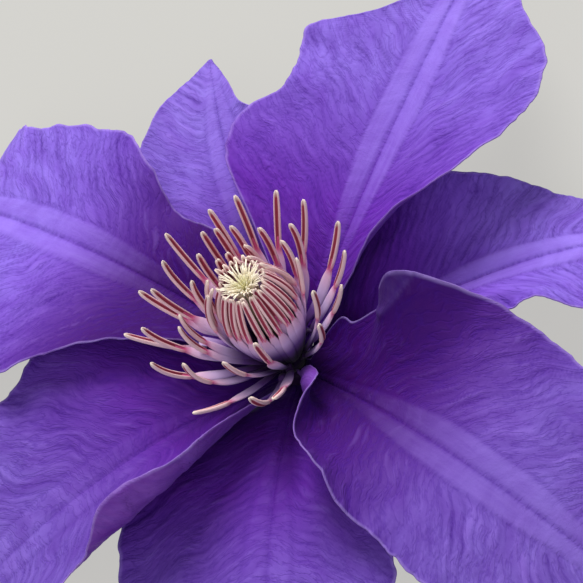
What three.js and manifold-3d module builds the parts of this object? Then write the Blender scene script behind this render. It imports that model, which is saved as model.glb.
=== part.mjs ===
// Large-flowered clematis bloom, picked with a short stub of its stalk and laid face up.
// Millimetres, +Z up. The group's origin is under the bloom, at the middle of its footprint.
//
// Everything is first shaped in the bloom's own frame, whose origin is the middle of the
// receptacle and whose +Z runs up through the pistil. The bloom then leans back a little
// and is raised so that three drooping sepal tips rest on the surface.

import * as THREE from "three";
import { mergeVertices } from "three/addons/utils/BufferGeometryUtils.js";
import Module from "manifold-3d";

// ---- Driving dimensions ----------------------------------------------------------------

const LEAN = 9; // degrees that the bloom leans towards +Y
const RECEPTACLE_HEIGHT = 9; // the receptacle's middle above the surface
const BLADE = 0.7; // thickness of a sepal
const GAP = 0.35; // clear space kept between one piece and the next
const SEPAL_START = 3.5; // radius at which the sepals begin

// Half-width of a blade along its length, as a share of its widest half-width.
const OUTLINE = [
  [0, 0.1], [0.1, 0.3], [0.25, 0.66], [0.42, 0.93], [0.56, 1],
  [0.7, 0.93], [0.84, 0.66], [0.94, 0.3], [1, 0.03],
];

// Each sepal, counter-clockwise from +X. Angles are in degrees, lengths in millimetres, and
// the lists hold [share of the length, value].
//   slope: rise of the midrib        heading: sideways turn of the midrib
//   fold: gutter angle of both halves
//   left, right: extra curl of each half at its margin, upward positive
//   liftLeft, liftRight: margin raised by this much
//   wideLeft, wideRight: share of the outline's width
//   rollLeft, rollRight: how tightly the curl keeps to the margin, 2 when not given
//   under: the sepals that lie over this one, counted from 0
const SEPALS = [
  {
    name: "sepal_1", azimuth: -15, length: 72, width: 37, base: -1, under: [1, 6],
    heading: [[0, 0], [1, -4]],
    slope: [[0, 16], [0.3, 8], [0.6, -6], [0.75, -22], [0.84, -56], [1, -68]],
    fold: [[0, 14], [0.25, 20], [0.5, 14], [0.75, -6], [1, -10]],
    left: [[0, 0], [1, 0]],
    right: [[0, 0], [1, 0]],
    liftLeft: [[0, 0], [0.35, 5], [0.6, 0], [1, 0]],
    liftRight: [[0, 0], [0.3, 5], [0.45, 8], [0.55, 5], [0.65, 2], [0.8, 0], [1, 0]],
    wideLeft: [
      [0, 1.7], [0.15, 1.75], [0.3, 1.35], [0.45, 1.08], [0.6, 0.9], [0.7, 0.75], [1, 0.9],
    ],
    wideRight: [[0, 1.4], [0.15, 1.1], [0.35, 0.85], [0.5, 0.7], [0.7, 0.84], [1, 1]],
  },
  {
    name: "sepal_2", azimuth: 31, length: 86, width: 50, base: 0.6, under: [],
    heading: [[0, 0], [0.5, 2], [1, 8]],
    slope: [[0, 26], [0.25, 18], [0.5, 10], [0.75, 4], [1, -14]],
    fold: [[0, 40], [0.2, 20], [0.5, 12], [1, 5]],
    left: [[0, 20], [0.5, 0], [1, 0]],
    right: [[0, 20], [0.15, 30], [0.25, 60], [0.38, 30], [0.5, 0], [0.65, -10], [1, 0]],
    liftLeft: [[0, 0], [1, 0]],
    liftRight: [[0, 0], [1, 0]],
    wideLeft: [
      [0, 1], [0.2, 1.15], [0.32, 1.32], [0.43, 1.19], [0.52, 0.91], [0.62, 0.98],
      [0.69, 1], [0.76, 0.6], [0.83, 0.36], [1, 0.6],
    ],
    wideRight: [
      [0, 1], [0.2, 0.72], [0.3, 0.84], [0.4, 0.98], [0.7, 1.02], [0.8, 0.8], [1, 0.8],
    ],
  },
  {
    name: "sepal_3", azimuth: 73, length: 69, width: 38, base: -1, under: [1, 3],
    heading: [[0, 0], [0.3, 6], [1, -4]],
    slope: [[0, 20], [0.3, 16], [0.6, 8], [1, 0]],
    fold: [[0, 14], [0.3, 14], [0.7, 8], [1, 5]],
    left: [[0, 0], [1, 0]],
    right: [[0, 0], [1, 0]],
    liftLeft: [[0, 0], [1, 0]],
    liftRight: [[0, 0], [1, 0]],
    wideLeft: [[0, 1.4], [0.15, 1.1], [0.3, 1], [0.6, 1], [0.8, 0.95], [0.9, 0.9], [1, 0.8]],
    wideRight: [
      [0, 1.4], [0.15, 1.1], [0.3, 0.95], [0.45, 0.9], [0.7, 0.55], [0.8, 0.33], [1, 0.35],
    ],
  },
  {
    name: "sepal_4", azimuth: 116, length: 94, width: 49, base: 0.6, under: [],
    heading: [[0, 0], [0.5, 2], [1, 7]],
    slope: [[0, 28], [0.25, 16], [0.5, 6], [0.72, -6], [0.84, -42], [1, -60]],
    fold: [[0, 40], [0.2, 20], [0.5, 12], [1, 8]],
    left: [[0, 20], [0.3, 0], [0.5, -10], [0.7, -30], [1, -20]],
    right: [[0, 30], [0.15, 10], [0.32, -20], [0.46, 10], [0.6, 0], [0.75, 0], [1, -20]],
    liftLeft: [[0, 0], [0.25, 2], [0.4, -2], [0.55, -9], [0.7, -14], [0.85, -12], [1, 0]],
    liftRight: [[0, 0], [1, 0]],
    wideLeft: [[0, 1], [0.25, 0.96], [0.4, 1.28], [0.6, 1.45], [1, 1.2]],
    wideRight: [
      [0, 0.8], [0.1, 0.85], [0.2, 0.92], [0.3, 0.72], [0.36, 0.69], [0.42, 0.8],
      [0.5, 0.92], [0.66, 0.88], [0.76, 0.96], [0.86, 1.5], [1, 3],
    ],
  },
  {
    name: "sepal_5", azimuth: 184, length: 80, width: 50, base: -0.2, under: [3],
    rollLeft: 3,
    heading: [[0, 0], [1, 6]],
    slope: [[0, 18], [0.3, 10], [0.6, -4], [1, -24]],
    fold: [[0, 25], [0.25, 20], [0.6, 6], [1, 0]],
    left: [
      [0, 40], [0.2, 75], [0.33, 85], [0.42, 120], [0.48, 120], [0.56, 60], [0.66, 35],
      [0.8, 20], [1, 0],
    ],
    right: [[0, 20], [0.4, 0], [1, 0]],
    liftLeft: [[0, 0], [1, 0]],
    liftRight: [[0, 0], [1, 0]],
    wideLeft: [
      [0, 1.5], [0.15, 1.3], [0.3, 1.2], [0.48, 1.06], [0.56, 0.78], [0.66, 0.75], [1, 1],
    ],
    wideRight: [[0, 1.6], [0.12, 1.9], [0.25, 1.45], [0.38, 1.26], [0.5, 1.08], [1, 1.1]],
  },
  {
    name: "sepal_6", azimuth: 238, length: 80, width: 46, base: -1, under: [4, 6],
    heading: [[0, 0], [1, 3]],
    slope: [[0, 14], [0.3, 4], [0.5, -6], [0.7, -34], [0.85, -56], [1, -50]],
    fold: [[0, 10], [0.25, 12], [0.6, 2], [1, 0]],
    left: [[0, 0], [1, 0]],
    right: [[0, 0], [1, 0]],
    liftLeft: [[0, 0], [1, 0]],
    liftRight: [[0, 0], [1, 0]],
    wideLeft: [[0, 1.6], [0.15, 1.2], [0.3, 1], [0.5, 0.95], [1, 0.95]],
    wideRight: [
      [0, 1.6], [0.1, 1.7], [0.2, 1.4], [0.32, 1.35], [0.42, 1.2], [0.55, 1], [1, 1],
    ],
  },
  {
    name: "sepal_7", azimuth: 288, length: 80, width: 48, base: 0.6, under: [],
    heading: [[0, 0], [1, 0]],
    slope: [[0, 20], [0.3, 8], [0.6, -6], [1, -28]],
    fold: [[0, 34], [0.2, 16], [0.5, 6], [1, 0]],
    left: [[0, 30], [0.2, 0], [1, 0]],
    right: [
      [0, 100], [0.06, 180], [0.13, 205], [0.18, 180], [0.22, 100], [0.34, 60], [0.46, 0],
      [1, 0],
    ],
    liftLeft: [[0, 0], [0.11, 1], [0.16, 3], [0.235, 12], [0.35, 2], [0.55, -4], [1, 0]],
    liftRight: [[0, 0], [1, 0]],
    wideLeft: [
      [0, 1], [0.06, 2], [0.1, 1.5], [0.14, 1.4], [0.2, 1.12], [0.35, 1.18], [0.5, 1.06],
      [1, 1],
    ],
    wideRight: [
      [0, 0.9], [0.07, 1.35], [0.13, 1.4], [0.2, 1.12], [0.27, 1.12], [0.38, 0.87],
      [0.5, 0.78], [1, 0.9],
    ],
  },
];
// The order in which the sepals are laid: each one goes beneath the earlier ones it names.
const LAYING_ORDER = [1, 3, 6, 4, 5, 2, 0];

const ROWS = [
  0, 0.05, 0.1, 0.15, 0.2, 0.25, 0.3, 0.35, 0.41, 0.47, 0.53, 0.59, 0.65, 0.71, 0.77,
  0.83, 0.89, 0.95, 1,
];
const HALF_COLUMNS = [2, 4, 7, 10, 14, 17, 20]; // twentieths of the half-width
const RIB = 0.3; // height of the two ribs that run up the middle of each blade

// ---- Small helpers ---------------------------------------------------------------------

const radians = THREE.MathUtils.degToRad;

// Smooth curve through [position, value] points.
function along(points, t) {
  const last = points.length - 1;
  if (t <= points[0][0]) return points[0][1];
  if (t >= points[last][0]) return points[last][1];
  let i = 0;
  while (t > points[i + 1][0]) i++;
  const [a, p] = points[i];
  const [b, q] = points[i + 1];
  const step = b - a;
  const before = i === 0 ? [a, p] : points[i - 1];
  const after = i === last - 1 ? [b, q] : points[i + 2];
  const m0 = (q - before[1]) / (b - before[0]);
  const m1 = (after[1] - p) / (after[0] - a);
  const x = (t - a) / step;
  return (
    (2 * x ** 3 - 3 * x ** 2 + 1) * p + (x ** 3 - 2 * x ** 2 + x) * step * m0 +
    (3 * x ** 2 - 2 * x ** 3) * q + (x ** 3 - x ** 2) * step * m1
  );
}

// Repeatable number from 0 to 1 for the k-th property of the i-th piece.
function draw(i, k) {
  const x = Math.sin(i * 127.1 + k * 311.7) * 43758.5453;
  return x - Math.floor(x);
}

// From the bloom's own frame to the frame in which it rests.
function settle(p) {
  return p
    .clone()
    .applyAxisAngle(new THREE.Vector3(1, 0, 0), -radians(LEAN))
    .add(new THREE.Vector3(0, 0, RECEPTACLE_HEIGHT));
}

const wasm = await Module();
wasm.setup();

function solidOf(geometry) {
  const bare = new THREE.BufferGeometry();
  bare.setAttribute("position", geometry.getAttribute("position"));
  if (geometry.index) bare.setIndex(geometry.index);
  const merged = mergeVertices(bare, 1e-4);
  return new wasm.Manifold(
    new wasm.Mesh({
      numProp: 3,
      vertProperties: merged.getAttribute("position").array,
      triVerts: new Uint32Array(merged.index.array),
    }),
  );
}

function geometryOf(solid) {
  const mesh = solid.getMesh();
  const geometry = new THREE.BufferGeometry();
  geometry.setAttribute("position", new THREE.BufferAttribute(mesh.vertProperties, 3));
  geometry.setIndex(new THREE.BufferAttribute(mesh.triVerts, 1));
  geometry.computeVertexNormals();
  return geometry;
}

// Closed solid between two grids of points that share a shape: `over` above `below`.
function slab(over, below) {
  const rows = over.length;
  const columns = over[0].length;
  const position = [];
  for (const grid of [over, below])
    for (const row of grid) for (const p of row) position.push(p.x, p.y, p.z);
  const top = (i, j) => i * columns + j;
  const low = (i, j) => rows * columns + i * columns + j;
  const index = [];
  for (let i = 0; i + 1 < rows; i++)
    for (let j = 0; j + 1 < columns; j++) {
      index.push(top(i, j), top(i + 1, j + 1), top(i + 1, j));
      index.push(top(i, j), top(i, j + 1), top(i + 1, j + 1));
      index.push(low(i, j), low(i + 1, j), low(i + 1, j + 1));
      index.push(low(i, j), low(i + 1, j + 1), low(i, j + 1));
    }
  const side = (a, b) => {
    index.push(top(...b), top(...a), low(...b), top(...a), low(...a), low(...b));
  };
  for (let i = 0; i + 1 < rows; i++) {
    side([i + 1, 0], [i, 0]);
    side([i, columns - 1], [i + 1, columns - 1]);
  }
  for (let j = 0; j + 1 < columns; j++) {
    side([0, j], [0, j + 1]);
    side([rows - 1, j + 1], [rows - 1, j]);
  }
  const geometry = new THREE.BufferGeometry();
  geometry.setAttribute("position", new THREE.Float32BufferAttribute(position, 3));
  geometry.setIndex(index);
  geometry.computeVertexNormals();
  return geometry;
}

// ---- Sepals ----------------------------------------------------------------------------

// Middle surface of a blade as rows of points, from its left margin to its right margin.
function bladeSurface(sepal) {
  const half = sepal.width / 2;
  const steps = 100;
  const midrib = new THREE.Vector3(SEPAL_START, 0, sepal.base);
  const turn = new THREE.Vector3(0, 0, 1);
  const rows = [];
  const direction = (t) => {
    const rise = radians(along(sepal.slope, t));
    const aside = radians(along(sepal.heading, t));
    return new THREE.Vector3(
      Math.cos(rise) * Math.cos(aside), Math.cos(rise) * Math.sin(aside), Math.sin(rise),
    );
  };
  for (let s = 0; s <= steps; s++) {
    const t = s / steps;
    if (ROWS.some((r) => Math.abs(r - t) < 1e-6)) {
      const tangent = direction(t);
      const aside = radians(along(sepal.heading, t));
      const across = new THREE.Vector3(-Math.sin(aside), Math.cos(aside), 0);
      const up = tangent.clone().cross(across);
      const reach = half * Math.max(along(OUTLINE, t), 0.02);
      const fold = radians(along(sepal.fold, t));
      const margin = (side, curls, lifts, widths, roll = 2) => {
        const curl = radians(along(curls, t));
        const lift = along(lifts, t);
        const wide = reach * along(widths, t);
        const p = midrib.clone();
        const picked = [];
        for (let k = 1; k <= 20; k++) {
          const angle = fold + curl * ((k - 0.5) / 20) ** roll;
          p.addScaledVector(across, (side * Math.cos(angle) * wide) / 20);
          p.addScaledVector(up, (Math.sin(angle) * wide) / 20);
          if (HALF_COLUMNS.includes(k))
            picked.push(p.clone().addScaledVector(up, lift * (k / 20) ** 2.2));
        }
        return picked;
      };
      rows.push([
        ...margin(1, sepal.left, sepal.liftLeft, sepal.wideLeft, sepal.rollLeft).reverse(),
        midrib.clone(),
        ...margin(-1, sepal.right, sepal.liftRight, sepal.wideRight, sepal.rollRight),
      ]);
    }
    midrib.addScaledVector(direction(t + 0.5 / steps), sepal.length / steps);
  }
  for (const row of rows) for (const p of row) p.applyAxisAngle(turn, radians(sepal.azimuth));
  return rows;
}

// Lowest or highest crossing of a vertical line with a surface, and how steep it is there.
function crossing(surface, x, y, pick) {
  let found = null;
  const test = (a, b, c) => {
    const area = (b.x - a.x) * (c.y - a.y) - (c.x - a.x) * (b.y - a.y);
    if (Math.abs(area) < 1e-9) return;
    const u = ((x - a.x) * (c.y - a.y) - (c.x - a.x) * (y - a.y)) / area;
    const v = ((b.x - a.x) * (y - a.y) - (x - a.x) * (b.y - a.y)) / area;
    if (u < 0 || v < 0 || u + v > 1) return;
    const z = a.z + u * (b.z - a.z) + v * (c.z - a.z);
    const normal = b.clone().sub(a).cross(c.clone().sub(a)).normalize();
    if (found === null || pick(z, found.z) === z)
      found = { z, level: Math.abs(normal.z) };
  };
  for (let i = 0; i + 1 < surface.length; i++)
    for (let j = 0; j + 1 < surface[i].length; j++) {
      const [a, b] = [surface[i][j], surface[i + 1][j]];
      const [c, d] = [surface[i + 1][j + 1], surface[i][j + 1]];
      test(a, b, c);
      test(a, c, d);
    }
  return found;
}

// Pushes a surface down wherever it would touch one that lies above it.
function layUnder(surface, above) {
  const room = BLADE + GAP + RIB;
  const reach = 1.6;
  for (const row of surface)
    for (const p of row) {
      let ceiling = Infinity;
      for (const upper of above)
        for (const [dx, dy] of [
          [0, 0], [reach, 0], [-reach, 0], [0, reach], [0, -reach],
          [1.1, 1.1], [-1.1, 1.1], [1.1, -1.1], [-1.1, -1.1],
        ]) {
          const hit = crossing(upper, p.x + dx, p.y + dy, Math.min);
          if (hit) ceiling = Math.min(ceiling, hit.z - room / Math.max(hit.level, 0.3));
        }
      p.z = Math.min(p.z, ceiling);
    }
}

// Unit normals of a grid of points.
function normalsOf(grid) {
  const at = (i, j) =>
    grid[Math.min(Math.max(i, 0), grid.length - 1)][
      Math.min(Math.max(j, 0), grid[0].length - 1)
    ];
  return grid.map((row, i) =>
    row.map((_, j) => {
      const lengthwise = at(i + 1, j).clone().sub(at(i - 1, j));
      const crosswise = at(i, j + 1).clone().sub(at(i, j - 1));
      return crosswise.cross(lengthwise).normalize();
    }),
  );
}

// Height of the ribs over the blade: one on each side of the midrib, which stays sunken.
function ribHeight(t, column) {
  const middle = HALF_COLUMNS.length;
  const out = Math.abs(column - middle);
  const fade = 1 - along([[0, 1], [0.1, 0], [0.7, 0], [0.95, 1], [1, 1]], t);
  return fade * [0, RIB, 0][Math.min(out, 2)];
}

function bladeGeometry(surface) {
  const settled = surface.map((row) => row.map(settle));
  const normals = normalsOf(settled);
  const face = (side, floor) =>
    settled.map((row, i) =>
      row.map((p, j) => {
        const rib = side > 0 ? ribHeight(ROWS[i], j) : 0;
        const q = p.clone().addScaledVector(normals[i][j], side * (BLADE / 2 + rib));
        q.z = Math.max(q.z, floor); // a tip that meets the surface lies flat on it
        return q;
      }),
    );
  return slab(face(1, BLADE), face(-1, 0));
}

const surfaces = SEPALS.map(bladeSurface);
for (const i of LAYING_ORDER)
  layUnder(surfaces[i], SEPALS[i].under.map((k) => surfaces[k]));

// ---- Stamens ---------------------------------------------------------------------------

// Ring on the receptacle that every filament grows from.
const COLLAR = { inner: 1.9, waist: 2.35, outer: 2.9, bottom: 1.85, top: 5.2 };
const LOOSE_FOOT = { radius: 2.3, height: 3.7 };
const BARREL_FOOT = { radius: 2.3, height: 4.5 };
const STAMEN_HALF = 0.67; // half the thickness of an anther, with a little to spare

// Cross-section along a stamen: [share of its length, width, thickness]. The filament is a
// flat strap, and the anther starts at 0.62.
const STAMEN_SECTIONS = [
  [0, 1, 0.7], [0.2, 1.5, 0.7], [0.42, 1.8, 0.7], [0.6, 1.2, 0.7], [0.66, 1.6, 1.1],
  [0.8, 1.6, 1.1], [0.94, 1.5, 1], [1, 0.7, 0.6],
];

// Stamens that have opened away from the middle, each with its azimuth, its rise at the foot
// and at the tip, its length, and its sideways turn.
const LOOSE = [
  [2, 35, 68, 23, -28], [16, 30, 62, 24, -5], [20, 54, 96, 23, -6], [32, 38, 94, 24, -12],
  [43, 32, 68, 26, -22], [49, 46, 100, 24, 0], [56, 54, 116, 24, 8], [62, 38, 56, 27, -28],
  [69, 40, 74, 28, -3], [72, 44, 106, 26, -2], [80, 40, 95, 29, 8], [84, 44, 108, 27, 0],
  [85, 54, 118, 24, 4], [95, 42, 102, 27, -2], [102, 54, 118, 24, -10],
  [110, 48, 104, 25, 0], [112, 40, 78, 29, -6], [125, 35, 98, 28, 4], [134, 36, 80, 26, 18],
  [136, 32, 70, 27, 8], [140, 50, 108, 24, -4], [150, 25, 55, 27, 12], [156, 25, 80, 26, 10],
  [165, 42, 98, 23, 5], [170, 16, 80, 25, 18], [173, 40, 95, 23, 10], [188, 22, 95, 23, 20],
  [213, 24, 50, 23, -5], [222, 44, 78, 23, 20], [240, 20, 75, 23, 4], [248, 50, 84, 22, 14],
  [256, 34, 46, 22, -8], [306, 40, 72, 23, -30], [322, 50, 80, 23, -26],
  [331, 42, 66, 23, -18], [350, 64, 80, 23, -16],
];

// The rest stand in a closed barrel round the styles, evenly spaced with a little scatter.
const BARREL = {
  count: 34, from: 57, to: 130, length: 22.8, slim: 0.7,
  scatter: { azimuth: 6, from: 5, to: 7, length: 0.8, turn: 8 },
};

// Widest reach of the styles at a height above the receptacle's middle.
const STYLE_REACH = [
  [2, 1.4], [8, 1.6], [14, 1.8], [20, 2.2], [24, 2.7], [25.8, 3.1], [26.8, 4.2], [32, 4.4],
];

// Closed strap through a list of sections {p, across, up, wide, thick}.
function strap(sections) {
  const position = [];
  for (const s of sections)
    for (const [u, v] of [[1, 1], [-1, 1], [-1, -1], [1, -1]]) {
      const p = s.p
        .clone()
        .addScaledVector(s.across, (u * s.wide) / 2)
        .addScaledVector(s.up, (v * s.thick) / 2);
      position.push(p.x, p.y, p.z);
    }
  const index = [0, 2, 1, 0, 3, 2];
  for (let i = 0; i + 1 < sections.length; i++)
    for (let k = 0; k < 4; k++) {
      const [a, b] = [4 * i + k, 4 * i + ((k + 1) % 4)];
      index.push(a, b + 4, a + 4, a, b, b + 4);
    }
  const e = 4 * (sections.length - 1);
  index.push(e, e + 1, e + 2, e, e + 2, e + 3);
  const geometry = new THREE.BufferGeometry();
  geometry.setAttribute("position", new THREE.Float32BufferAttribute(position, 3));
  geometry.setIndex(index);
  return geometry;
}

// Points of a stamen from its foot to its tip.
function stamenPath([azimuth, from, to, length, turn], foot) {
  const steps = 50;
  const p = new THREE.Vector3(foot.radius, 0, foot.height);
  const points = [p.clone()];
  for (let s = 0; s < steps; s++) {
    const u = (s + 0.5) / steps;
    const rise = radians(from + (to - from) * u ** 1.5);
    const aside = radians(turn * u);
    p.x += (length / steps) * Math.cos(rise) * Math.cos(aside);
    p.y += (length / steps) * Math.cos(rise) * Math.sin(aside);
    p.z += (length / steps) * Math.sin(rise);
    points.push(p.clone());
  }
  const axis = new THREE.Vector3(0, 0, 1);
  for (const q of points) q.applyAxisAngle(axis, radians(azimuth));
  return points;
}

function stamenGeometry(spec, foot, slim = 1) {
  const path = stamenPath(spec, foot);
  const room = BLADE / 2 + RIB + GAP + STAMEN_HALF;
  const around = radians(spec[0]);
  for (const q of path) {
    // above the sepals, and outside the styles
    for (const surface of surfaces)
      for (const aside of [-1.2, 0, 1.2]) {
        const x = q.x - aside * Math.sin(around);
        const y = q.y + aside * Math.cos(around);
        const hit = crossing(surface, x, y, Math.max);
        if (hit) q.z = Math.max(q.z, hit.z + room / Math.max(hit.level, 0.5));
      }
    const radius = Math.hypot(q.x, q.y);
    const least = along(STYLE_REACH, q.z) + GAP + STAMEN_HALF;
    if (q.z > 5 && radius < least) {
      q.x *= least / radius;
      q.y *= least / radius;
    }
  }
  const sections = STAMEN_SECTIONS.map(([t, wide, thick]) => {
    const i = Math.round(t * (path.length - 1));
    const tangent = path[Math.min(i + 1, path.length - 1)]
      .clone()
      .sub(path[Math.max(i - 1, 0)])
      .normalize();
    const across = new THREE.Vector3(-Math.sin(around), Math.cos(around), 0);
    const up = tangent.clone().cross(across).normalize();
    across.crossVectors(up, tangent).normalize();
    return { p: path[i], across, up, wide: Math.max(wide * slim, 0.7), thick };
  });
  return strap(sections);
}

// Joins closed geometries into one body and keeps only its outer skin.
function fuse(geometries) {
  let joined = solidOf(geometries[0]);
  for (const g of geometries.slice(1)) joined = joined.add(solidOf(g));
  const parts = joined.decompose();
  return geometryOf(parts.reduce((a, b) => (b.volume() > a.volume() ? b : a)));
}

function lathe(profile, segments) {
  const points = profile.map(([r, z]) => new THREE.Vector2(r, z));
  return new THREE.LatheGeometry(points, segments).rotateX(Math.PI / 2);
}

function stamensGeometry() {
  const { inner, waist, outer, bottom, top } = COLLAR;
  const collar = lathe(
    [[inner, bottom], [waist, bottom], [waist, 2.9], [outer, 3.6], [outer, top - 0.6],
      [outer - 0.4, top], [inner, top], [inner, bottom]],
    16,
  );
  const pieces = [collar];
  for (const spec of LOOSE) pieces.push(stamenGeometry(spec, LOOSE_FOOT));
  const { count, from, to, length, slim, scatter } = BARREL;
  for (let i = 0; i < count; i++) {
    const off = (k, amount) => amount * (2 * draw(i, k) - 1);
    const spec = [
      (360 / count) * i + off(1, scatter.azimuth),
      from + off(2, scatter.from),
      to + off(3, scatter.to),
      length + off(4, scatter.length),
      off(5, scatter.turn),
    ];
    pieces.push(stamenGeometry(spec, BARREL_FOOT, slim));
  }
  return fuse(pieces);
}

// ---- Pistil and stem -------------------------------------------------------------------

const STYLES = { count: 24, foot: 5.5, top: 26.8, width: 0.6 };

// Closed bundle of styles on a small core of ovaries.
function pistilGeometry() {
  const pieces = [
    lathe([[0, 1.85], [1.2, 1.85], [1.45, 3.5], [1.4, 5.5], [1, 7.5], [0, 8.2]], 12),
  ];
  for (let i = 0; i < STYLES.count; i++) {
    const inner = i % 3; // three circles of styles, one inside the next
    const around = radians((360 / STYLES.count) * i + 20 * (draw(i, 11) - 0.5));
    const across = new THREE.Vector3(-Math.sin(around), Math.cos(around), 0);
    const outward = new THREE.Vector3(Math.cos(around), Math.sin(around), 0);
    const top = STYLES.top - 1.4 * draw(i, 12) - 0.4 * inner;
    const share = [1, 0.66, 0.3][inner];
    const sections = [0, 0.3, 0.6, 0.8, 0.93, 1].map((t) => {
      const z = STYLES.foot + (top - STYLES.foot) * t;
      const radius = (along(STYLE_REACH, z) - 0.45) * (0.8 + 0.2 * t) * share;
      return {
        p: outward.clone().multiplyScalar(radius).setZ(z),
        across,
        up: outward.clone().negate(),
        wide: STYLES.width * (t > 0.9 ? 0.75 : 1),
        thick: STYLES.width * (t > 0.9 ? 0.75 : 1),
      };
    });
    pieces.push(strap(sections));
  }
  return fuse(pieces);
}

// Receptacle with a cut stub of the flower stalk below it.
const STEM_PROFILE = [
  [0, -7.2], [1.5, -7.2], [1.6, -6.8], [1.45, -4.5], [1.8, -3], [2.7, -1.8], [2.95, -0.6],
  [2.95, 0.6], [2.6, 1.3], [1.6, 1.5], [0, 1.5],
];

// ---- The bloom -------------------------------------------------------------------------

const finish = (colour, roughness) =>
  new THREE.MeshStandardMaterial({ color: colour, roughness, metalness: 0 });
const MATERIALS = {
  sepal: finish(0x6b4fc4, 0.6),
  stamens: finish(0xc9a3b8, 0.6),
  pistil: finish(0xd8d2a4, 0.6),
  stem: finish(0x6d7a3a, 0.7),
};

const bloom = new THREE.Group();
function add(name, geometry, material) {
  const mesh = new THREE.Mesh(geometry, material);
  mesh.name = name;
  bloom.add(mesh);
}

// Puts a geometry shaped in the bloom's own frame where the bloom rests.
function rested(geometry) {
  return geometry.rotateX(-radians(LEAN)).translate(0, 0, RECEPTACLE_HEIGHT);
}

SEPALS.forEach((sepal, i) => add(sepal.name, bladeGeometry(surfaces[i]), MATERIALS.sepal));
add("stamens", rested(stamensGeometry()), MATERIALS.stamens);
add("pistil", rested(pistilGeometry()), MATERIALS.pistil);
add("stem", rested(geometryOf(solidOf(lathe(STEM_PROFILE, 20)))), MATERIALS.stem);

// The middle of the footprint goes to the origin.
const footprint = new THREE.Box3().setFromObject(bloom);
const middle = footprint.getCenter(new THREE.Vector3());
for (const mesh of bloom.children) mesh.geometry.translate(-middle.x, -middle.y, 0);

export default bloom;
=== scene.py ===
# %% [markdown]
# # A clematis bloom, laid face up
#
# A large-flowered clematis has no true petals. What looks like petals are sepals: broad thin
# blades with three sunken veins up the middle. Round the pistil stands a ring of flat
# stamens, lilac-white below and maroon and cream above.
#
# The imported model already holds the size, the place and the plain form of each piece. This
# script dresses it with fine meshes and finishes, and moves nothing.

# %% Load the frame
import math

import bpy
import numpy as np
from mathutils import Matrix, Vector
from mathutils.bvhtree import BVHTree


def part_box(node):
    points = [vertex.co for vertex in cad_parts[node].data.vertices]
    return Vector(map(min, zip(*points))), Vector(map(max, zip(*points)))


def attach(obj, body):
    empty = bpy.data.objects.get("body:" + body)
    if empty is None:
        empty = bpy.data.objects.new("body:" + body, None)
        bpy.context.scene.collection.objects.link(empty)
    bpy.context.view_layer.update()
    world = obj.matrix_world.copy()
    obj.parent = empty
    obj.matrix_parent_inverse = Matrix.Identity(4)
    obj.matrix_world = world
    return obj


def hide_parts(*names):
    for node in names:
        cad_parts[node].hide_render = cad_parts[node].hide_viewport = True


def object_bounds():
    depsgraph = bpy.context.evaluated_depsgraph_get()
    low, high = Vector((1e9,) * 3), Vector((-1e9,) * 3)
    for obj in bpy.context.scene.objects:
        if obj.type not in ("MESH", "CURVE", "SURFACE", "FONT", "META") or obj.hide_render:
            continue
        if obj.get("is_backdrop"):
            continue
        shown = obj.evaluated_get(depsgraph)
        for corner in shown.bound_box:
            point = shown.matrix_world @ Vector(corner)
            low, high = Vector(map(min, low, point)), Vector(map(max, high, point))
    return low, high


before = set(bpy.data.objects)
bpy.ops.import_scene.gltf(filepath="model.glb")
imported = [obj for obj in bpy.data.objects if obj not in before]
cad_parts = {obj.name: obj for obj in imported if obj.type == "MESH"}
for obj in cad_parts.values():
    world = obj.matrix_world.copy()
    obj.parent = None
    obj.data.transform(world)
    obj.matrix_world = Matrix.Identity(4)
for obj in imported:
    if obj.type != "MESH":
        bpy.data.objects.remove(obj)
CAD_BOX = [[float(x) for x in corner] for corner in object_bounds()]
MM = 0.001  # every driving dimension below is in millimetres
BODY = "root"
print("pieces in the frame:", sorted(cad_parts))

# %% [markdown]
# ## Where the bloom stands
#
# The sepals, stamens and styles are all shaped round one point, the middle of the receptacle.
# The bloom then leans back a few degrees and is raised, because three drooping sepal tips
# carry it. The stem node is turned round that same point, so its box tells where the point
# lies in the frame.

# %% The bloom's own frame
LEAN = math.radians(9)
RECEPTACLE_HEIGHT = 9.0
RECEPTACLE_RADIUS = 2.95
RECEPTACLE_RIM = 0.6  # half-height of the receptacle's widest band

stem_low, stem_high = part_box("stem")
CENTRE = np.array([
    (stem_low.x + stem_high.x) / 2 / MM,
    stem_high.y / MM - RECEPTACLE_RADIUS * math.cos(LEAN) - RECEPTACLE_RIM * math.sin(LEAN),
    RECEPTACLE_HEIGHT,
])
print("middle of the receptacle, mm:", CENTRE.round(2))


def settled(points):
    """From the bloom's own frame to the frame it rests in, still in millimetres."""
    p = np.asarray(points, float)
    y = p[..., 1] * math.cos(LEAN) + p[..., 2] * math.sin(LEAN)
    z = p[..., 2] * math.cos(LEAN) - p[..., 1] * math.sin(LEAN)
    return np.stack([p[..., 0], y, z], -1) + CENTRE

# %% [markdown]
# ## The camera
#
# The bloom is seen from a little above one side, with the camera turned on its own axis. A
# long lens at arm's length keeps the near sepals from swelling. The camera is aimed so that
# the receptacle falls a little below the middle of the picture, without any lens shift.

# %% Aim the camera
PICTURE = 583  # pixels along each side of the picture
PIXELS_PER_MM = 5.8  # at the receptacle
DISTANCE = 340.0
ELEVATION = math.radians(57)
ROLL = math.radians(33)
RECEPTACLE_PIXEL = (297, 368)
SENSOR = 36.0

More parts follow.
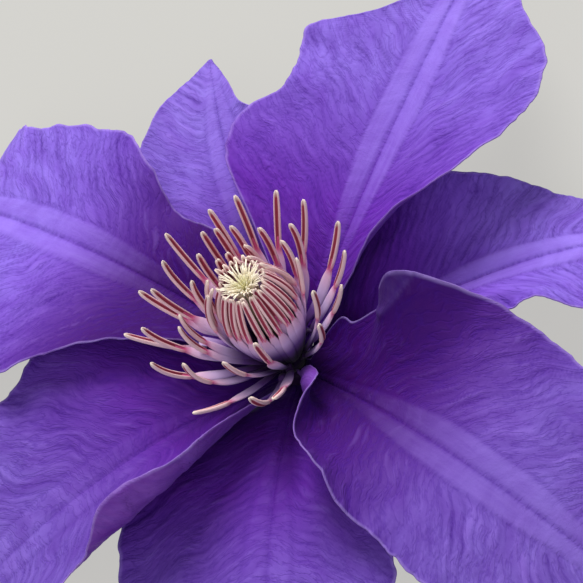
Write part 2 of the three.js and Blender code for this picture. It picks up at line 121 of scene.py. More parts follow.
focal_pixels = PIXELS_PER_MM * DISTANCE
back = Vector((0, -math.cos(ELEVATION), math.sin(ELEVATION)))
level = (-back).cross(Vector((0, 0, 1))).normalized()
upright = level.cross(-back)
right = level * math.cos(ROLL) - upright * math.sin(ROLL)
up = level * math.sin(ROLL) + upright * math.cos(ROLL)
aim = Vector((
    (RECEPTACLE_PIXEL[0] - PICTURE / 2) / focal_pixels,
    -(RECEPTACLE_PIXEL[1] - PICTURE / 2) / focal_pixels,
    -1,
)).normalized()
seen = right * aim.x + up * aim.y + back * aim.z
swing = seen.rotation_difference(-back).to_matrix()
axes = [swing @ v for v in (right, up, back)]

camera = bpy.data.objects.new("camera", bpy.data.cameras.new("camera"))
bpy.context.scene.collection.objects.link(camera)
camera.data.sensor_width = SENSOR
camera.data.lens = focal_pixels * SENSOR / PICTURE
camera.data.clip_start = 0.01
place = (Vector(CENTRE) + back * DISTANCE) * MM
camera.matrix_world = Matrix.Translation(place) @ Matrix(axes).transposed().to_4x4()
bpy.context.scene.camera = camera
print("lens, mm:", round(camera.data.lens, 1))

# %% [markdown]
# ## Finishes
#
# Each finish is a small node tree. Colours are written as they look on a screen, from 0 to
# 255, and turned into the linear values that the shader works with. A number that is the same
# all over a piece goes straight onto the shader's own socket.

# %% Colours and plain finishes
def screen(red, green, blue):
    """A screen colour, 0 to 255, as a linear colour."""
    def linear(c):
        c = c / 255
        return c / 12.92 if c <= 0.04045 else ((c + 0.055) / 1.055) ** 2.4
    return (linear(red), linear(green), linear(blue), 1)


def new_finish(name, roughness, specular, sheen=0.0, sockets=()):
    """A material with its shader's plain numbers set. Returns it, its tree and its shader."""
    material = bpy.data.materials.new(name)
    material.use_nodes = True
    tree = material.node_tree
    shader = tree.nodes["Principled BSDF"]
    plain = {"Roughness": roughness, "Specular IOR Level": specular, "Sheen Weight": sheen}
    for socket, value in {**plain, **dict(sockets)}.items():
        shader.inputs[socket].default_value = value
    return material, tree, shader


print("a mid grey of the screen, as a linear value:", round(screen(128, 128, 128)[0], 3))

# %% [markdown]
# What varies over a piece is worked out by nodes. They read numbers stored on the mesh, such
# as the place along a blade, so a colour follows the piece however it bends. Each helper adds
# a node and returns the socket to use next.

# %% The nodes of a finish
BLACK, WHITE = (0, 0, 0), (255, 255, 255)


def add_node(tree, kind, inputs=(), **settings):
    """A node with its settings made and its inputs given as values or as sockets."""
    made = tree.nodes.new(kind)
    for key, value in settings.items():
        setattr(made, key, value)
    for key, value in dict(inputs).items():
        if isinstance(value, bpy.types.NodeSocket):
            tree.links.new(value, made.inputs[key])
        else:
            made.inputs[key].default_value = value
    return made


def attribute(tree, name):
    """The three numbers of a vector that is stored on the mesh."""
    source = add_node(tree, "ShaderNodeAttribute", attribute_name=name)
    split = add_node(tree, "ShaderNodeSeparateXYZ", {0: source.outputs["Vector"]})
    return source.outputs["Vector"], split.outputs


def maths(tree, operation, a, b=0.0):
    return add_node(tree, "ShaderNodeMath", {0: a, 1: b}, operation=operation).outputs[0]


def times(tree, a, b):
    return maths(tree, "MULTIPLY", a, b)


def noise(tree, vector=None, **settings):
    """Smooth noise from 0 to 1, over a vector or over the space that the piece fills."""
    inputs = {name.capitalize(): value for name, value in settings.items()}
    if vector is not None:
        inputs["Vector"] = vector
    return add_node(tree, "ShaderNodeTexNoise", inputs).outputs["Fac"]


def stretched(tree, vector, scale):
    return add_node(tree, "ShaderNodeMapping", {"Vector": vector, "Scale": scale}).outputs[0]


def ramp(tree, factor, stops):
    """Screen colours at positions along a factor."""
    made = add_node(tree, "ShaderNodeValToRGB", {0: factor})
    band = made.color_ramp
    while len(band.elements) < len(stops):
        band.elements.new(1)
    for element, (position, colour) in zip(band.elements, stops):
        element.position = position
        element.color = screen(*colour)
    return made.outputs["Color"]


def mask(tree, factor, off, on):
    """0 where the factor is at `off`, 1 where it is at `on`, and a slope between."""
    return ramp(tree, factor, sorted([(off, BLACK), (on, WHITE)]))


def blended(tree, factor, a, b):
    """Colour a turned into colour b by a factor."""
    mix = add_node(tree, "ShaderNodeMix", {0: factor, 6: a, 7: b}, data_type="RGBA")
    return mix.outputs[2]


def layered(tree, colour, *layers):
    """A colour with screen colours laid over it in turn, each by its own factor."""
    for factor, over in layers:
        colour = blended(tree, factor, colour, screen(*over))
    return colour


def painted(tree, shader, colour, *layers):
    """Gives a piece its colour, with layers over it."""
    tree.links.new(layered(tree, colour, *layers), shader.inputs["Base Color"])


def bumped(tree, shader, height, strength, distance):
    """Lets a height tilt the light on a piece without moving its points."""
    bump = add_node(tree, "ShaderNodeBump", {
        "Height": height, "Strength": strength, "Distance": distance,
    })
    tree.links.new(bump.outputs[0], shader.inputs["Normal"])


print("a mask runs from", screen(*BLACK), "to", screen(*WHITE))

# %% [markdown]
# ## Floor and light
#
# A pale floor and a large soft light, high on the far side, as from a window behind the bloom.
# The halves of a cupped sepal that face the light are bright, and the halves that turn away
# from it are deep violet. A weak fill comes from the pale surroundings.

# %% The floor
FLOOR_REACH = 3.0  # metres to each side


def make_floor():
    mesh = bpy.data.meshes.new("floor")
    corners = [(-1, -1), (1, -1), (1, 1), (-1, 1)]
    mesh.from_pydata([(a * FLOOR_REACH, b * FLOOR_REACH, 0) for a, b in corners],
                     [], [(0, 1, 2, 3)])
    material, _, _ = new_finish("floor", 0.9, specular=0.0, sockets={
        "Base Color": screen(88, 87, 85),
        "Emission Color": screen(255, 254, 249), "Emission Strength": 0.51,
    })
    mesh.materials.append(material)
    floor = bpy.data.objects.new("floor", mesh)
    bpy.context.scene.collection.objects.link(floor)
    floor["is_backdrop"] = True


make_floor()
print("floor:", 2 * FLOOR_REACH, "m square")

# %% The lights
def make_light(name, place, size, power, colour):
    data = bpy.data.lights.new(name, "AREA")
    data.shape = "DISK"
    data.size = size
    data.energy = power
    data.color = colour
    light = bpy.data.objects.new(name, data)
    bpy.context.scene.collection.objects.link(light)
    light.location = place
    light.rotation_euler = (-Vector(place)).to_track_quat("-Z", "Y").to_euler()


make_light("window", (0.45, 0.95, 1.0), 0.8, 29, (1, 0.985, 0.96))
make_light("fill", (-0.5, -0.8, 0.9), 1.4, 7, (0.95, 0.97, 1))
world = bpy.data.worlds.new("surroundings")
world.use_nodes = True
sky = world.node_tree.nodes["Background"]
sky.inputs["Color"].default_value = (0.92, 0.93, 0.95, 1)
sky.inputs["Strength"].default_value = 0.4
bpy.context.scene.world = world
bpy.context.scene.view_settings.view_transform = "Standard"
bpy.context.scene.view_settings.look = "None"

# %% [markdown]
# ## Curves from a few values
#
# A sepal's bend, width and curl all change along its length. Each is given by a few
# [share of the length, value] pairs, and a smooth curve runs through them. Small irregular
# changes come from two more helpers: a repeatable draw for the k-th property of the i-th
# piece, and a cloud, which is smooth noise over two coordinates.

# %% Curves, draws and clouds
def along(points, t):
    """Smooth curve through [position, value] pairs, for a number or an array."""
    x, y = np.array(points, float).T
    t = np.clip(t, x[0], x[-1])
    i = np.clip(np.searchsorted(x, t) - 1, 0, len(x) - 2)
    before, after = np.maximum(i - 1, 0), np.minimum(i + 2, len(x) - 1)
    step = x[i + 1] - x[i]
    m0 = (y[i + 1] - y[before]) / (x[i + 1] - x[before])
    m1 = (y[after] - y[i]) / (x[after] - x[i])
    s = (t - x[i]) / step
    return (
        (2 * s**3 - 3 * s**2 + 1) * y[i] + (s**3 - 2 * s**2 + s) * step * m0
        + (3 * s**2 - 2 * s**3) * y[i + 1] + (s**3 - s**2) * step * m1
    )


def draw(i, k):
    """Repeatable number from 0 to 1."""
    return (np.sin(i * 127.1 + k * 311.7) * 43758.5453) % 1


def cloud(x, y, seed):
    """Smooth noise from -1 to 1 that changes over a distance of about 1."""
    x, y = np.broadcast_arrays(x, y)
    i, j = np.floor(x), np.floor(y)
    u, v = x - i, y - j
    u, v = u * u * (3 - 2 * u), v * v * (3 - 2 * v)

    def corner(a, b):
        return draw(i + a + seed * 17, j + b + seed * 3)

    low = corner(0, 0) * (1 - u) + corner(1, 0) * u
    high = corner(0, 1) * (1 - u) + corner(1, 1) * u
    return 2 * (low * (1 - v) + high * v) - 1


def smooth_step(x, low, high):
    """0 below low, 1 above high, and smooth between."""
    s = np.clip((x - low) / (high - low), 0, 1)
    return s * s * (3 - 2 * s)


print("half way up a smooth curve:", along([[0, 0], [1, 1]], 0.5))

# %% [markdown]
# ## The sepals' driving values
#
# Every sepal is a blade with the same outline, bent its own way. Its midrib rises or droops by
# `slope` and turns aside by `heading`. Both halves fold up by `fold` into a gutter, and each
# half curls towards its own margin by `left` or `right`, later the larger its `roll` is. `lift`
# raises a margin, and `wide` makes one half wider or narrower than the outline. `base` is the
# height at which a blade starts, and `under` names the sepals that lie over it. Angles are in
# degrees, lengths in millimetres.

# %% Values of sepals 1 to 3
SEPAL_START = 3.5  # from the middle of the receptacle
OUTLINE = [  # half-width of a blade as a share of its greatest
    [0, 0.1], [0.1, 0.3], [0.25, 0.66], [0.42, 0.93], [0.56, 1],
    [0.7, 0.93], [0.84, 0.66], [0.94, 0.3], [1, 0.03],
]
NONE = [[0, 0], [1, 0]]
FULL = [[0, 1], [1, 1]]
SEPALS = {}
SEPALS["sepal_1"] = dict(
    azimuth=-15, length=72, width=37, base=-1, under=["sepal_2", "sepal_7"],
    heading=[[0, 0], [1, -4]],
    slope=[[0, 16], [0.3, 8], [0.6, -6], [0.75, -22], [0.84, -56], [1, -68]],
    fold=[[0, 14], [0.25, 20], [0.5, 14], [0.75, -6], [1, -10]],
    lift_left=[[0, 0], [0.35, 5], [0.6, 0], [1, 0]],
    lift_right=[[0, 0], [0.3, 5], [0.45, 8], [0.55, 5], [0.65, 2], [0.8, 0], [1, 0]],
    wide_left=[[0, 2.1], [0.15, 2.35], [0.3, 1.35], [0.45, 1.08], [0.6, 0.9], [0.7, 0.75], [1, 0.9]],
    wide_right=[[0, 1.4], [0.15, 1.1], [0.35, 0.85], [0.5, 0.7], [0.7, 0.84], [1, 1]],
)
SEPALS["sepal_2"] = dict(
    azimuth=31, length=86, width=50, base=0.6, under=[],
    heading=[[0, 0], [0.5, 2], [1, 8]],
    slope=[[0, 26], [0.25, 18], [0.5, 10], [0.75, 4], [1, -14]],
    fold=[[0, 40], [0.2, 20], [0.5, 12], [1, 5]],
    left=[[0, 20], [0.5, 0], [1, 0]],
    right=[[0, 20], [0.15, 30], [0.25, 60], [0.38, 30], [0.5, 0], [0.65, -10], [1, 0]],
    wide_left=[
        [0, 1], [0.2, 1.15], [0.32, 1.32], [0.43, 1.19], [0.52, 0.91], [0.62, 0.98],
        [0.69, 1], [0.76, 0.6], [0.83, 0.36], [1, 0.6],
    ],
    wide_right=[[0, 1], [0.2, 0.72], [0.3, 0.84], [0.4, 0.98], [0.7, 1.02], [0.8, 0.8], [1, 0.8]],
)
SEPALS["sepal_3"] = dict(
    azimuth=73, length=69, width=38, base=-1, under=["sepal_2", "sepal_4"],
    heading=[[0, 0], [0.3, 6], [1, -4]],
    slope=[[0, 20], [0.3, 16], [0.6, 8], [1, 0]],
    fold=[[0, 14], [0.3, 14], [0.7, 8], [1, 5]],
    wide_left=[[0, 1.4], [0.15, 1.1], [0.3, 1], [0.6, 1], [0.8, 0.95], [0.9, 0.9], [1, 0.8]],
    wide_right=[[0, 1.4], [0.15, 1.1], [0.3, 0.95], [0.45, 0.9], [0.7, 0.55], [0.8, 0.33], [1, 0.35]],
)
print("values given for:", list(SEPALS))

# %% Values of sepals 4 and 5
SEPALS["sepal_4"] = dict(
    azimuth=116, length=94, width=49, base=0.6, under=[],
    heading=[[0, 0], [0.5, 2], [1, 7]],
    slope=[[0, 28], [0.25, 16], [0.5, 6], [0.72, -6], [0.84, -42], [1, -60]],
    fold=[[0, 40], [0.2, 20], [0.5, 12], [1, 8]],
    left=[[0, 20], [0.3, 0], [0.5, -10], [0.7, -30], [1, -20]],
    right=[[0, 30], [0.15, 10], [0.32, -20], [0.46, 10], [0.6, 0], [0.75, 0], [1, -20]],
    lift_left=[[0, 0], [0.25, 2], [0.4, -2], [0.55, -9], [0.7, -14], [0.85, -12], [1, 0]],
    wide_left=[[0, 1], [0.25, 0.96], [0.4, 1.28], [0.6, 1.45], [1, 1.2]],
    wide_right=[
        [0, 0.8], [0.1, 0.85], [0.2, 0.92], [0.3, 0.72], [0.36, 0.69], [0.42, 0.8],
        [0.5, 0.92], [0.66, 0.88], [0.76, 0.96], [0.86, 1.5], [1, 3],
    ],
)
SEPALS["sepal_5"] = dict(
    azimuth=184, length=80, width=50, base=-0.2, under=["sepal_4"], roll_left=3,
    heading=[[0, 0], [1, 6]],
    slope=[[0, 18], [0.3, 10], [0.6, -4], [1, -24]],
    fold=[[0, 25], [0.25, 20], [0.6, 6], [1, 0]],
    left=[
        [0, 40], [0.2, 75], [0.33, 85], [0.42, 120], [0.48, 120], [0.56, 60], [0.66, 35],
        [0.8, 20], [1, 0],
    ],
    right=[[0, 20], [0.4, 0], [1, 0]],
    wide_left=[[0, 1.5], [0.15, 1.3], [0.3, 1.2], [0.48, 1.06], [0.56, 0.78], [0.66, 0.75], [1, 1]],
    wide_right=[[0, 1.6], [0.12, 1.9], [0.25, 1.45], [0.38, 1.26], [0.5, 1.08], [1, 1.1]],
)
print("values given for:", list(SEPALS))

# %% Values of sepals 6 and 7
SEPALS["sepal_6"] = dict(
    azimuth=238, length=80, width=46, base=-1, under=["sepal_5", "sepal_7"],
    heading=[[0, 0], [1, 3]],
    slope=[[0, 14], [0.3, 4], [0.5, -6], [0.7, -34], [0.85, -56], [1, -50]],
    fold=[[0, 10], [0.25, 12], [0.6, 2], [1, 0]],
    wide_left=[[0, 1.6], [0.15, 1.2], [0.3, 1], [0.5, 0.95], [1, 0.95]],
    wide_right=[[0, 1.6], [0.1, 1.7], [0.2, 1.4], [0.32, 1.35], [0.42, 1.2], [0.55, 1], [1, 1]],
)
SEPALS["sepal_7"] = dict(
    azimuth=288, length=80, width=48, base=0.6, under=[],
    heading=NONE,
    slope=[[0, 20], [0.3, 8], [0.6, -6], [1, -28]],
    fold=[[0, 34], [0.2, 16], [0.5, 6], [1, 0]],
    left=[[0, 30], [0.2, 0], [1, 0]],
    right=[
        [0, 100], [0.06, 180], [0.13, 205], [0.18, 180], [0.22, 100], [0.34, 60], [0.46, 0],
        [1, 0],
    ],
    lift_left=[[0, 0], [0.11, 1], [0.16, 3], [0.235, 12], [0.35, 2], [0.55, -4], [1, 0]],
    wide_left=[
        [0, 1], [0.06, 2], [0.1, 1.5], [0.14, 1.4], [0.2, 1.12], [0.35, 1.18], [0.5, 1.06],
        [1, 1],
    ],
    wide_right=[
        [0, 0.9], [0.07, 1.35], [0.13, 1.4], [0.2, 1.12], [0.27, 1.12], [0.38, 0.87],
        [0.5, 0.78], [1, 0.9],
    ],
)
LAYING_ORDER = ["sepal_2", "sepal_4", "sepal_7", "sepal_5", "sepal_6", "sepal_3", "sepal_1"]
print("sepals:", {name: (v["length"], v["width"]) for name, v in SEPALS.items()})

# %% [markdown]
# ## The blades
#
# A blade could be cut from a plane and pushed about by hand, but a grid that follows the
# values above is exact and can be made as fine as the veins need. The midrib is walked first.
# At each step along it, the section is walked outwards over both halves, turning as it curls.
# The margins get a fine uneven edge and a soft ruffle, a little different on every sepal.

# %% Helpers for walking
def direction(rise, aside):
    """Unit vectors that climb by one angle and turn aside by another."""
    return np.stack([np.cos(rise) * np.cos(aside), np.cos(rise) * np.sin(aside), np.sin(rise)], -1)


def walked(strides, start):
    """The points that are reached from a start, stride by stride."""
    return np.vstack([np.zeros(3), np.cumsum(strides, 0)]) + start


def turned_about(points, angle):
    """Points turned about the upright axis through the receptacle."""
    x = points[..., 0] * math.cos(angle) - points[..., 1] * math.sin(angle)
    y = points[..., 0] * math.sin(angle) + points[..., 1] * math.cos(angle)
    return np.stack([x, y, points[..., 2]], -1)


print("level and ahead:", direction(0.0, 0.0))

# %% Walk the midribs
STEPS_ALONG = 230
CLAW = 0.9  # the last bit of a blade, which reaches in to the receptacle
ALONG = np.linspace(0, 1, STEPS_ALONG + 1)  # share of the length at each step


def walked_midrib(sepal):
    """Points of the midrib, with the crosswise and the upward direction at each."""
    def heading_at(t):
        rise, aside = along(sepal["slope"], t), along(sepal["heading"], t)
        return direction(np.radians(rise), np.radians(aside))

    half_step = 0.5 / STEPS_ALONG
    strides = heading_at(ALONG[:-1] + half_step) * sepal["length"] / STEPS_ALONG
    midrib = walked(strides, [SEPAL_START, 0, sepal["base"]])
    midrib[0, 0] -= CLAW
    aside = np.radians(along(sepal["heading"], ALONG))
    across = np.stack([-np.sin(aside), np.cos(aside), 0 * aside], -1)
    return midrib, across, np.cross(heading_at(ALONG), across)


print("sepal_1 droops to", walked_midrib(SEPALS["sepal_1"])[0][-1, 2].round(1), "mm at its tip")

# %% Walk the two halves
STEPS_ACROSS = 50  # over each half
LEAST_REACH = 0.02  # half-width at the very tip, as a share of the greatest
EDGE_NOTCH = 0.02  # unevenness of the outline, as a share of the half-width
NOTCH_LENGTHS = (3.2, 1.3)
RUFFLE = 0.7  # height of the margins' ruffle
WAVE_LENGTHS = (6.5, 2.6)


def walked_half(sepal, side, seed):
    """For one half: how far out and how far over each point lies, and its place across."""
    label = "left" if side > 0 else "right"
    t = ALONG[:, None]
    s = sepal["length"] * t
    k = np.arange(1, STEPS_ACROSS + 1)
    share = k / STEPS_ACROSS
    fold = np.radians(along(sepal["fold"], ALONG))[:, None]
    curl = np.radians(along(sepal.get(label, NONE), ALONG))[:, None]
    angle = fold + curl * ((k - 0.5) / STEPS_ACROSS) ** sepal.get("roll_" + label, 2)
    coarse, fine = NOTCH_LENGTHS
    notch = cloud(s / coarse, side, seed) + cloud(s / fine, side, seed) / 2
    wide = sepal["width"] / 2 * np.maximum(along(OUTLINE, ALONG), LEAST_REACH)
    wide = wide * along(sepal.get("wide_" + label, FULL), ALONG)
    wide = wide[:, None] * (1 + EDGE_NOTCH * notch * smooth_step(t, 0.15, 0.4))
    out = side * wide * np.cumsum(np.cos(angle), 1) / STEPS_ACROSS
    over = wide * np.cumsum(np.sin(angle), 1) / STEPS_ACROSS
    over = over + along(sepal.get("lift_" + label, NONE), ALONG)[:, None] * share**2.2
    coarse, fine = WAVE_LENGTHS
    wave = cloud(s / coarse, side * 9 + share, seed + 10)
    wave = wave + 0.4 * cloud(s / fine, side * 9 + share * 2, seed + 20)
    over = over + RUFFLE * wave * share**3 * smooth_step(t, 0.12, 0.4)
    return out[..., None], over[..., None], side * wide * share


def walked_blade(name):
    """The blade's middle surface in the bloom's own frame, with the places on it."""
    sepal = SEPALS[name]
    seed = list(SEPALS).index(name) + 1
    midrib, across, up = (part[:, None] for part in walked_midrib(sepal))
    halves = []
    for side in (1, -1):
        out, over, x = walked_half(sepal, side, seed)
        halves.append((midrib + out * across + over * up, x))
    (left, left_x), (right, right_x) = halves
    s = sepal["length"] * ALONG[:, None]
    points = np.concatenate([left[:, ::-1], midrib, right], 1)
    x = np.concatenate([left_x[:, ::-1], 0 * s, right_x], 1)
    turned = turned_about(points, math.radians(sepal["azimuth"]))
    return turned, np.broadcast_to(s, x.shape), x


blades = {name: walked_blade(name) for name in SEPALS}
print("points on each blade:", blades["sepal_1"][0][..., 0].size)

# %% [markdown]
# ## Laying one sepal beneath the next
#
# Neighbouring sepals overlap. The free ones keep their form, and the ones beneath are pressed
# down wherever they would touch. Each point of a lower blade looks straight up for the blade
# above it. The push is found on a coarse grid, spread a little and smoothed, so that it leaves
# no step.

# %% Find the blade above
CLEAR = 1.0  # between the middle surfaces of two blades that overlap
LOOK_ROUND = 1.6  # how far to each side a point looks for the blade above
STEEP = 0.3  # a blade that is steeper than this asks for no more room
FAR = 200  # beyond every piece: where a look straight up or down begins


def tree_of(grid):
    """A tree that finds where a ray meets a grid of points."""
    rows, columns = grid.shape[:2]
    at = np.arange(rows * columns).reshape(rows, columns)
    quads = np.stack([at[:-1, :-1], at[1:, :-1], at[1:, 1:], at[:-1, 1:]], -1).reshape(-1, 4)
    return BVHTree.FromPolygons(grid.reshape(-1, 3).tolist(), quads.tolist())


def ceiling_over(tree, x, y):
    """Height of the lowest crossing straight above a place, less the room it needs."""
    hit, normal, _, _ = tree.ray_cast(Vector((x, y, -FAR)), Vector((0, 0, 1)))
    return math.inf if hit is None else hit.z - CLEAR / max(abs(normal.z), STEEP)


diagonal = LOOK_ROUND * 0.7
looks = [(0, 0), (LOOK_ROUND, 0), (-LOOK_ROUND, 0), (0, LOOK_ROUND), (0, -LOOK_ROUND)]
looks += [(a * diagonal, b * diagonal) for a in (1, -1) for b in (1, -1)]
print("each point looks up at", len(looks), "places")

# %% Press the lower sepals down
STRIDE = 5  # the coarse grid takes every fifth point
SMOOTHINGS = 3


def neighbours(values):
    """The nine values round each place of a grid, itself among them."""
    wide = np.pad(values, 1, mode="edge")
    rows, columns = values.shape
    return [wide[a:a + rows, b:b + columns] for a in range(3) for b in range(3)]


def refined(rows, count):
    """Rows of the coarse grid, filled in for every point."""
    every = np.arange(0, count, STRIDE)
    return np.array([np.interp(np.arange(count), every, row) for row in rows])


def smoothed(values):
    """Each value averaged with the ones before and after it in its column."""
    wide = np.pad(values, ((1, 1), (0, 0)), mode="edge")
    return (wide[:-2] + values + wide[2:]) / 3


def press_down(grid, above):
    """Lowers a blade's points under the blades above. Returns the greatest push."""
    rows, columns = grid.shape[:2]
    coarse = grid[::STRIDE, ::STRIDE]
    push = np.zeros(coarse.shape[:2])
    for i, j in np.ndindex(push.shape):
        x, y, z = coarse[i, j]
        ceiling = min(ceiling_over(tree, x + dx, y + dy) for tree in above for dx, dy in looks)
        push[i, j] = max(0, z - ceiling)
    push = np.mean(neighbours(np.max(neighbours(push), 0)), 0)
    down = refined(refined(push, columns).T, rows).T
    for _ in range(SMOOTHINGS):
        down = smoothed(smoothed(down).T).T
    grid[..., 2] -= down
    return float(down.max())


trees = {}
for name in LAYING_ORDER:
    above = [trees[upper] for upper in SEPALS[name]["under"]]
    pushed = press_down(blades[name][0], above) if above else 0.0
    trees[name] = tree_of(blades[name][0])
    print(name, "pressed down by up to", round(pushed, 1), "mm")

# %% [markdown]
# ## Ribs and veins
#
# Three veins sink into the upper face along the middle, and the tissue between them stands up
# as two pale ribs. Side veins leave the outer two at a slant and run to the margin, and the
# thin blade puckers between them. All of this is real relief in the mesh. The same numbers are
# stored on the points, so that the finish can darken the veins and lighten the ribs. The finish
# also darkens the creases and lightens the swellings between them, which is painted shade and
# painted highlight.

# %% Values of the relief
RIB = 0.13  # height of the two ribs
GROOVE = 0.09  # depth of the three main veins
MAIN_VEIN, OUTER_VEIN = 0.4, 0.45  # half-width of the middle one and of the other two
VEIN = 0.2  # depth of the side veins
VEIN_SPACING = 2.0
FINE_SPACING = VEIN_SPACING * 0.55  # of the finer veins near the margin
VEIN_SLANT = 0.78  # how far a side vein runs forward for each millimetre outward
PUCKER = 0.15  # uneven swelling between the side veins
CREASE = 0.05  # fine creases that run with the side veins
BAR = [[0, 0.8], [0.15, 1.8], [0.45, 4.4], [0.7, 4], [0.9, 1.8], [1, 0.3]]  # reach of the ribs
BAR_WIDTH = 48  # width of the blade that the ribs' reach is given for
# Each sepal is deepened by its own painted shade, where less light reaches it. For each: how
# far the whole blade is deepened, how far more near its base, and how pale its two ribs are.
PAINTED_SHADE_AND_RIBS = dict(
    sepal_1=(0, 0, 1), sepal_2=(0.08, 0, 1), sepal_3=(0.16, 0.2, 0.5), sepal_4=(0, 0.85, 0.9),
    sepal_5=(0.36, 0, 0.1), sepal_6=(0.3, 0, 0), sepal_7=(0.38, 0.35, 0.9),
)
print("greatest reach of the ribs:", max(reach for _, reach in BAR), "mm")

# %% [markdown]
# The number `q` grows along the blade and falls behind outwards, so it is the same all along
# a slanting side vein, and whole numbers of `q` over the spacing are the veins. Noise lets
# them wander. Part of sepal_7's margin is raised, with a small ridge along a fold, and the strip
# beyond the fold is painted pale: painted light through the thin margin, with a painted
# highlight along the fold.

# %% Relief of a blade
FLAP = dict(start=0.165, length=0.1, reach=0.2, height=0.3)


def lines(phase, thin):
    """1 on whole numbers, falling away to each side."""
    return np.exp(-(((phase - np.round(phase)) / thin) ** 2))


def ridge(distance, half_width):
    return np.exp(-((distance / half_width) ** 2))


def veins_of(q, s, x, beyond, seed):
    """Strength of the side veins at each point, from 0 to 1."""
    strong = 0.35 + 0.65 * draw(np.round(q / VEIN_SPACING), seed + np.sign(x))
    fading = 0.55 + 0.45 * cloud(s / 5, x / 4, seed + 60)
    coarse = strong * fading * lines(q / VEIN_SPACING, 0.17)
    fine = 0.45 * fading * lines((q + 0.6 * beyond) / FINE_SPACING, 0.2)
    veins = np.maximum(coarse, fine * smooth_step(beyond, 3, 9))
    return np.clip(veins, 0, 1) * smooth_step(beyond, 0, 1.2)


def flap_of(t, x):
    """Height of the ridge along the fold that bounds the flap, and the mask of its painted light."""
    bulge = np.sin(math.pi * np.clip((t - FLAP["start"]) / FLAP["length"], 0, 1))
    fold = 1 - FLAP["reach"] * bulge
    past = np.abs(x) / np.maximum(np.abs(x[:, :1]), 1e-6) - fold
    here = (np.sign(x) > 0) * (fold < 0.99)
    painted_flap_light = smooth_step(past, -0.01, 0.02) + ridge(past, 0.02)
    return FLAP["height"] * ridge(past, 0.04) * here, painted_flap_light * here


def relief_of(name):
    """At each point: the relief's height, marks of veins, ribs and painted shade, and the grain."""
    _, s, x = blades[name]
    seed = list(SEPALS).index(name) * 5
    out = np.abs(x)
    t = s / SEPALS[name]["length"]
    bar = along(BAR, t) * SEPALS[name]["width"] / BAR_WIDTH
    drift = 0.25 * cloud(s / 9, np.sign(x), seed + 30)
    rib = np.clip(1 - ((out - bar / 2) / (bar / 2)) ** 4, 0, 1) * smooth_step(1 - t, 0, 0.25)
    main = ridge(out, MAIN_VEIN) + 0.8 * ridge(out - bar - drift, OUTER_VEIN)
    beyond = np.maximum(out - bar, 0)
    q = s - VEIN_SLANT * beyond + 1.6 * cloud(s / 7, x / 5, seed + 40)
    q = q + 0.25 * cloud(s / 2.2, x / 1.6, seed + 50)
    veins = veins_of(q, s, x, beyond, seed)
    pucker = cloud(q / 1.9, x / 4.5, seed + 70) * smooth_step(beyond, 0, 3)
    crease = cloud(q / 0.9, x / 3.2, seed + 80)
    height = RIB * rib - GROOVE * main * smooth_step(1 - t, 0.02, 0.2)
    height = height - VEIN * veins + PUCKER * pucker - CREASE * crease
    # The first two values are painted shade: they darken the whole blade and its base.
    whole, base, glow = PAINTED_SHADE_AND_RIBS[name]
    rib = rib * glow * smooth_step(t, 0.12, 0.4)
    painted_shade = whole + base * (1 - smooth_step(t, 0.25, 0.55)) + 0 * x
    # On sepal_7 the strip beyond the fold is painted pale through the rib mark: painted light through
    # the thin margin, with a painted highlight on the fold.
    if name == "sepal_7":
        fold, painted_flap_light = flap_of(t, x)
        height = height + fold
        rib = np.maximum(rib, 1.2 * painted_flap_light)
    # Besides the veins' own darker colour, the dark mark holds painted shade in the creases and,
    # below zero, painted highlight on the swellings.
    dark = 0.85 * veins + 0.3 * main * smooth_step(1 - t, 0.02, 0.3)
    dark = dark + 0.15 * (crease - pucker) * (1 - 0.5 * rib)
    return height, np.stack([np.clip(dark, -0.2, 1), rib, painted_shade], -1), q


print("highest relief on sepal_1:", relief_of("sepal_1")[0].max().round(2), "mm")

# %% [markdown]
# ## From a surface to a closed blade
#
# A sheet with no thickness looks wrong at its edge, so each blade is a closed shell. It is
# thinner towards the margin and rounded over it. The tips that meet the floor lie flat on it.

# %% A mesh from points
def new_mesh(name, points, faces, finish, vectors=()):
    """A smooth mesh object from points in millimetres, with vectors stored on its points."""
    mesh = bpy.data.meshes.new(name)
    mesh.from_pydata((np.asarray(points) * MM).tolist(), [], faces)
    mesh.polygons.foreach_set("use_smooth", [True] * len(mesh.polygons))
    for key, values in dict(vectors).items():
        stored = mesh.attributes.new(key, "FLOAT_VECTOR", "POINT")
        stored.data.foreach_set("vector", np.asarray(values, np.float32).ravel())
    mesh.materials.append(finish)
    mesh.validate()
    made = bpy.data.objects.new(name, mesh)
    bpy.context.scene.collection.objects.link(made)
    return made


def unit(vectors):
    return vectors / np.maximum(np.linalg.norm(vectors, axis=-1, keepdims=True), 1e-9)


def ring_faces(rings):
    """Four-sided faces between rings of points that follow one another."""
    rows, around = rings.shape[:2]
    at = np.arange(rows * around).reshape(rows, around)
    ahead = np.roll(at, -1, 1)
    faces = np.stack([at[:-1], ahead[:-1], ahead[1:], at[1:]], -1).reshape(-1, 4).tolist()
    return at, faces


print("faces between two rings of eight points:", len(ring_faces(np.zeros((2, 8, 3)))[1]))

# %% Close a blade
THICK = 0.5
MARGIN_THICK = 0.26
COUNT = 2 * STEPS_ACROSS + 1  # points across a blade
SHARE = np.abs(np.linspace(-1, 1, COUNT))  # of the way from the midrib to the margin


def blade_loops(name, height):
    """Loops of points round the blade: a margin, the upper face, a margin, the lower face."""
    rest = settled(blades[name][0])
    normal = unit(np.cross(np.gradient(rest, axis=1), np.gradient(rest, axis=0)))
    middle = rest + normal * height[..., None]
    half = (THICK + (MARGIN_THICK - THICK) * smooth_step(SHARE, 0.6, 1)) / 2
    top = middle + normal * half[:, None]
    low = middle - normal * half[:, None]
    top[..., 2] = np.maximum(top[..., 2], THICK)
    low[..., 2] = np.maximum(low[..., 2], 0)
    outward = unit(rest[:, [0, -1]] - rest[:, [1, -2]])
    edge = (top[:, [0, -1]] + low[:, [0, -1]]) / 2 + outward * MARGIN_THICK * 0.4
    return np.concatenate([edge[:, :1], top, edge[:, 1:], low[:, ::-1]], 1)


